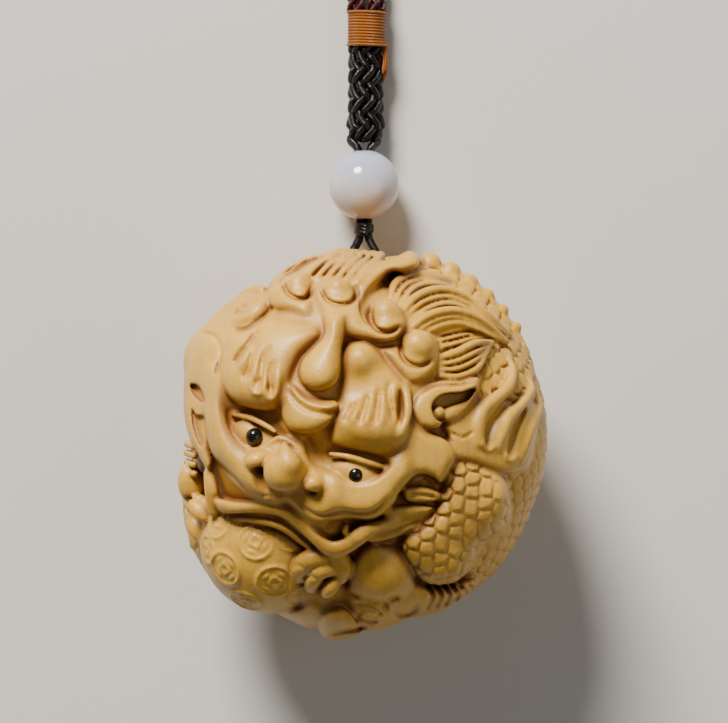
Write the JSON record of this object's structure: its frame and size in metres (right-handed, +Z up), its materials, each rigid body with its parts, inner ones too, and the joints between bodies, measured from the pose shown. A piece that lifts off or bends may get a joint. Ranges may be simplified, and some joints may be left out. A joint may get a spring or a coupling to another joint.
{
  "type": "pixiu figure",
  "caption": "Small carved boxwood guardian beast curled into a ball on its coins, a hanging pendant with a beaded and braided lanyard, lying face up.",
  "frame": {"origin": "on the table under the middle of the carved figure's box, the lanyard left out", "axes": "+Z up out of the face as the figure lies on its back, +Y from the chin to the crown and on along the lanyard, +X to the right of someone looking at the face"},
  "size_m": [0.0404, 0.1283, 0.037],
  "materials": {
    "boxwood": "hand-waxed satin",
    "eye": "polished",
    "agate": "polished milky stone",
    "black_cord": "twisted nylon",
    "gold_thread": "silky thread",
    "maroon_cord": "braided nylon"
  },
  "bodies": {
    "root": {"figure": "boxwood", "left_eye": "eye", "right_eye": "eye", "hang_loop": "black_cord", "lower_knot": "black_cord", "agate_bead": "agate", "left_strand": "black_cord", "right_strand": "black_cord", "black_braid": "black_cord", "gold_wrap": "gold_thread", "handle_loop": "maroon_cord"}
  },
  "joints": []
}
